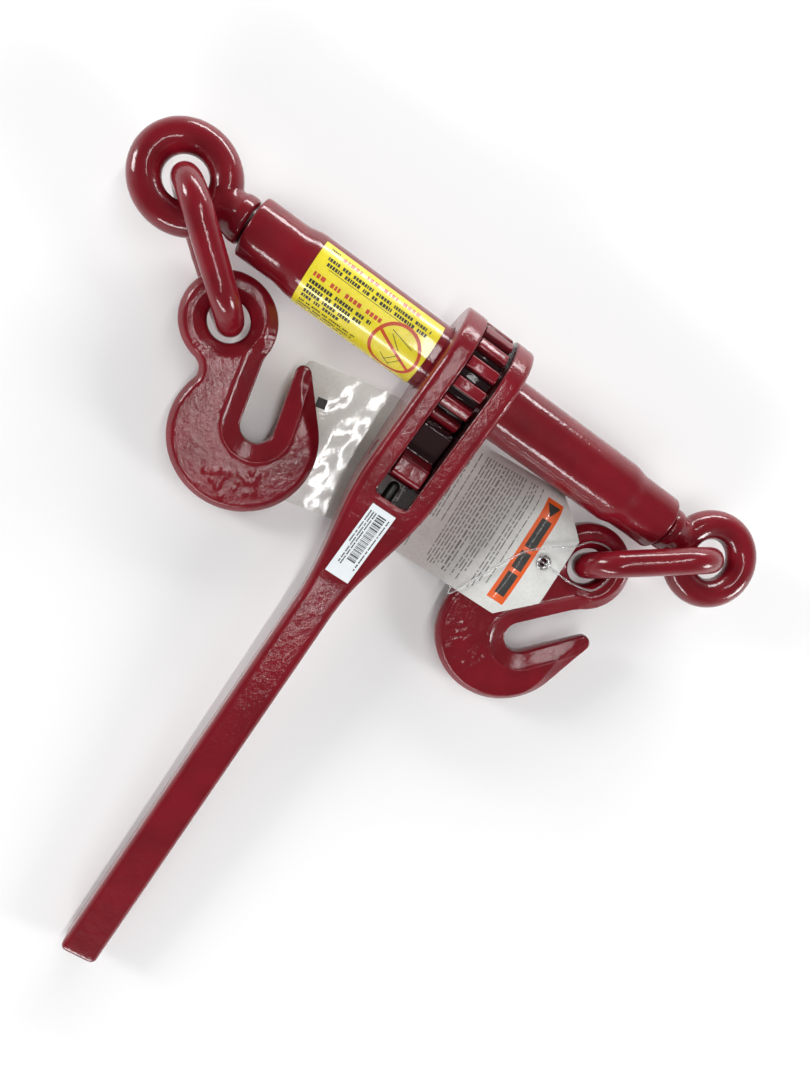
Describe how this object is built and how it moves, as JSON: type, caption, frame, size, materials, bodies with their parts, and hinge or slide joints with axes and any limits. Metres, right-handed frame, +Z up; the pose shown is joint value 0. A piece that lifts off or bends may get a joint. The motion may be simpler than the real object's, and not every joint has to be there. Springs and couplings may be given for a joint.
{
  "type": "ratchet load binder",
  "caption": "Ratchet load binder: threaded barrel with a reversible ratchet handle, an eye screw and link at each end and a grab hook on each link.",
  "frame": {"origin": "on the ground below the middle of the folded binder's bounding box", "axes": "+Z up from the ground, X along the barrel, -Y along the handle"},
  "size_m": [0.3876, 0.3967, 0.0618],
  "materials": {
    "red_paint": "glossy crimson paint over forged steel",
    "bare_steel": "bare or zinc plated steel",
    "dark_steel": "oiled dark steel",
    "yellow_label": "printed yellow film",
    "white_sticker": "printed white film",
    "tag_card": "laminated grey-white card",
    "clear_plastic": "clear wire loop"
  },
  "bodies": {
    "barrel": {"barrel_tube": "red_paint", "ratchet_gear": "red_paint", "warning_label": "yellow_label"},
    "handle": {"handle": "red_paint", "pawl_pin": "dark_steel", "pawl_spring": "bare_steel", "barcode_sticker": "white_sticker"},
    "pawl": {"pawl": "red_paint"},
    "plunger": {"pawl_plunger": "bare_steel"},
    "left_stop": {"left_stop_washer": "bare_steel"},
    "left_screw": {"left_eye_screw": "red_paint", "left_stop_clip": "dark_steel"},
    "left_link": {"left_link": "red_paint"},
    "left_hook": {"left_hook": "red_paint"},
    "right_stop": {"right_stop_washer": "bare_steel"},
    "right_screw": {"right_eye_screw": "red_paint", "right_stop_clip": "dark_steel"},
    "right_link": {"right_link": "red_paint"},
    "right_hook": {"right_hook": "red_paint", "tag_loop": "clear_plastic"},
    "tag": {"hang_tag": "tag_card", "tag_eyelet": "bare_steel"}
  },
  "joints": [
    {"name": "handle_turn", "type": "hinge", "parent": "barrel", "child": "handle", "pos_m": [0, 0.16742, 0.031], "axis": [1, 0, 0], "continuous": true},
    {"name": "pawl_rock", "type": "hinge", "parent": "handle", "child": "pawl", "pos_m": [0, 0.11352, 0.02768], "axis": [1, 0, 0], "range_deg": [-11, 11]},
    {"name": "plunger_slide", "type": "slide", "parent": "handle", "child": "plunger", "axis": [0, -0.9981, -0.0615], "range_m": [0, 0.003], "stiffness_N_per_m": 1500, "springref_m": -0.003, "deforming": ["pawl_spring"]},
    {"name": "left_feed", "type": "slide", "parent": "barrel", "child": "left_stop", "axis": [-1, 0, 0], "range_m": [0, 0.1017]},
    {"name": "left_turn", "type": "hinge", "parent": "left_stop", "child": "left_screw", "pos_m": [-0.06, 0.16742, 0.031], "axis": [1, 0, 0], "range_deg": [0, 5760]},
    {"name": "left_link_swing", "type": "hinge", "parent": "left_screw", "child": "left_link", "pos_m": [-0.1665, 0.16742, 0.031], "axis": [0, 0, 1], "range_deg": [-220, 0]},
    {"name": "left_hook_swing", "type": "hinge", "parent": "left_link", "child": "left_hook", "pos_m": [-0.1156, 0.12441, 0.0225], "axis": [0.0985, -0.1238, 0.9874], "range_deg": [-90, 18]},
    {"name": "right_feed", "type": "slide", "parent": "barrel", "child": "right_stop", "axis": [1, 0, 0], "range_m": [0, 0.1017]},
    {"name": "right_turn", "type": "hinge", "parent": "right_stop", "child": "right_screw", "pos_m": [0.06, 0.16742, 0.031], "axis": [1, 0, 0], "range_deg": [0, 5760]},
    {"name": "right_link_swing", "type": "hinge", "parent": "right_screw", "child": "right_link", "pos_m": [0.1665, 0.16742, 0.031], "axis": [0, 0, 1], "range_deg": [0, 240]},
    {"name": "right_hook_swing", "type": "hinge", "parent": "right_link", "child": "right_hook", "pos_m": [0.1116, 0.12601, 0.0225], "axis": [-0.0449, -0.1516, 0.9874], "range_deg": [0, 50], "deforming": ["tag_loop"]},
    {"name": "tag_swing", "type": "hinge", "parent": "right_hook", "child": "tag", "pos_m": [0.0865, 0.11381, 0.031], "axis": [0, 0, 1], "range_deg": [0, 10], "deforming": ["hang_tag"]}
  ],
  "couplings": [
    {"joint": "left_feed", "follows": "left_turn", "m_per_rad": 0.0010106},
    {"joint": "right_feed", "follows": "right_turn", "m_per_rad": 0.0010106}
  ]
}
